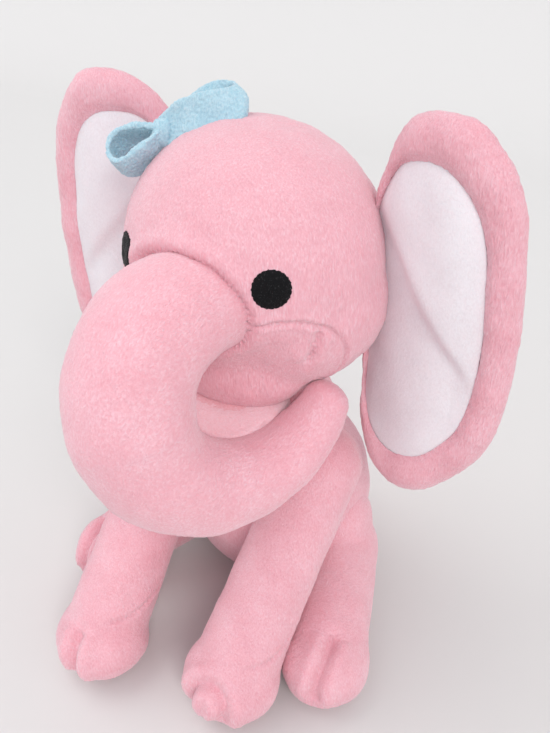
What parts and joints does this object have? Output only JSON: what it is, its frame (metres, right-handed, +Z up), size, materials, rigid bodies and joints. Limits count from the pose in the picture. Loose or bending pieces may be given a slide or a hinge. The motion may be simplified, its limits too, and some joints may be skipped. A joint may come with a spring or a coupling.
{
  "type": "stuffed elephant",
  "caption": "Seated stuffed elephant with a round head, curled trunk, broad lined ears, a small bow and soft jointed limbs, for holding and display.",
  "frame": {"origin": "on the ground plane, under the middle of the toy's bounding box", "axes": "+Z up, -Y the way the elephant faces, +X to the elephant's left"},
  "size_m": [0.2374, 0.207, 0.2754],
  "materials": {
    "pink_plush": "short directional pile, soft sheen",
    "ear_lining": "smooth short velour, matt",
    "bow_plush": "short pile, soft sheen",
    "eye_stitch": "dense satin stitch, slight thread gloss",
    "mouth_fabric": "flat knit, matt",
    "stuffing": "loose white polyester fibre, matt",
    "wadding": "sheet wadding, matt",
    "pellet_bag": "plain woven bag, matt"
  },
  "bodies": {
    "torso": {"torso_cover": "pink_plush", "torso_filling": "stuffing", "bean_bag": "pellet_bag"},
    "neck": {"neck_filling": "stuffing"},
    "head": {"head_cover": "pink_plush", "head_filling": "stuffing", "jaw_cover": "pink_plush", "jaw_filling": "stuffing", "mouth_lining": "mouth_fabric", "left_eye": "eye_stitch", "right_eye": "eye_stitch", "bow_knot": "bow_plush", "bow_standing_loop": "bow_plush", "bow_rolled_loop": "bow_plush"},
    "trunk_upper": {"trunk_upper_cover": "pink_plush", "trunk_upper_filling": "stuffing"},
    "trunk_lower": {"trunk_lower_cover": "pink_plush", "trunk_lower_filling": "stuffing"},
    "left_ear": {"left_ear_back": "pink_plush", "left_ear_lining": "ear_lining", "left_ear_wadding": "wadding"},
    "right_ear": {"right_ear_back": "pink_plush", "right_ear_lining": "ear_lining", "right_ear_wadding": "wadding"},
    "front_left_leg": {"front_left_leg_cover": "pink_plush", "front_left_leg_filling": "stuffing", "front_left_sole": "pink_plush"},
    "front_right_leg": {"front_right_leg_cover": "pink_plush", "front_right_leg_filling": "stuffing", "front_right_sole": "pink_plush"},
    "hind_left_leg": {"hind_left_leg_cover": "pink_plush", "hind_left_leg_filling": "stuffing", "hind_left_sole": "pink_plush"},
    "hind_right_leg": {"hind_right_leg_cover": "pink_plush", "hind_right_leg_filling": "stuffing", "hind_right_sole": "pink_plush"},
    "tail": {"tail_cord": "pink_plush", "tail_tuft": "pink_plush"}
  },
  "joints": [
    {"name": "neck_turn", "type": "hinge", "parent": "torso", "child": "neck", "pos_m": [0, 0.02245, 0.14], "axis": [0, 0, 1], "range_deg": [-20, 20], "stiffness_Nm_per_rad": 0.5},
    {"name": "head_nod", "type": "hinge", "parent": "neck", "child": "head", "pos_m": [0, 0.02245, 0.14], "axis": [1, 0, 0], "range_deg": [-8, 8], "stiffness_Nm_per_rad": 2},
    {"name": "trunk_lift", "type": "hinge", "parent": "head", "child": "trunk_upper", "pos_m": [0, -0.02155, 0.196], "axis": [-1, 0, 0], "range_deg": [-3, 12], "stiffness_Nm_per_rad": 1},
    {"name": "trunk_swing", "type": "hinge", "parent": "trunk_upper", "child": "trunk_lower", "pos_m": [0.005, -0.07455, 0.16], "axis": [0, 0, -1], "range_deg": [-1, 30], "stiffness_Nm_per_rad": 0.4},
    {"name": "left_ear_flap", "type": "hinge", "parent": "head", "child": "left_ear", "pos_m": [0.061, 0.03045, 0.2], "axis": [0, 0, -1], "range_deg": [-30, 30], "stiffness_Nm_per_rad": 0.1},
    {"name": "right_ear_flap", "type": "hinge", "parent": "head", "child": "right_ear", "pos_m": [-0.061, 0.03045, 0.2], "axis": [0, 0, 1], "range_deg": [-30, 30], "stiffness_Nm_per_rad": 0.1},
    {"name": "front_left_leg_swing", "type": "hinge", "parent": "torso", "child": "front_left_leg", "pos_m": [0.04, 0.01445, 0.099], "axis": [-1, 0, 0], "range_deg": [-1, 8], "stiffness_Nm_per_rad": 0.8},
    {"name": "front_right_leg_swing", "type": "hinge", "parent": "torso", "child": "front_right_leg", "pos_m": [-0.04, 0.00645, 0.099], "axis": [-1, 0, 0], "range_deg": [-2, 20], "stiffness_Nm_per_rad": 0.8},
    {"name": "hind_left_leg_splay", "type": "hinge", "parent": "torso", "child": "hind_left_leg", "pos_m": [0.05, 0.02845, 0.032], "axis": [0, 0, 1], "range_deg": [-1, 25], "stiffness_Nm_per_rad": 0.5},
    {"name": "hind_right_leg_splay", "type": "hinge", "parent": "torso", "child": "hind_right_leg", "pos_m": [-0.05, 0.02845, 0.032], "axis": [0, 0, -1], "range_deg": [-1, 25], "stiffness_Nm_per_rad": 0.5},
    {"name": "tail_swing", "type": "hinge", "parent": "torso", "child": "tail", "pos_m": [0, 0.08745, 0.05], "axis": [0, 1, 0], "range_deg": [-25, 25], "stiffness_Nm_per_rad": 0.02}
  ]
}
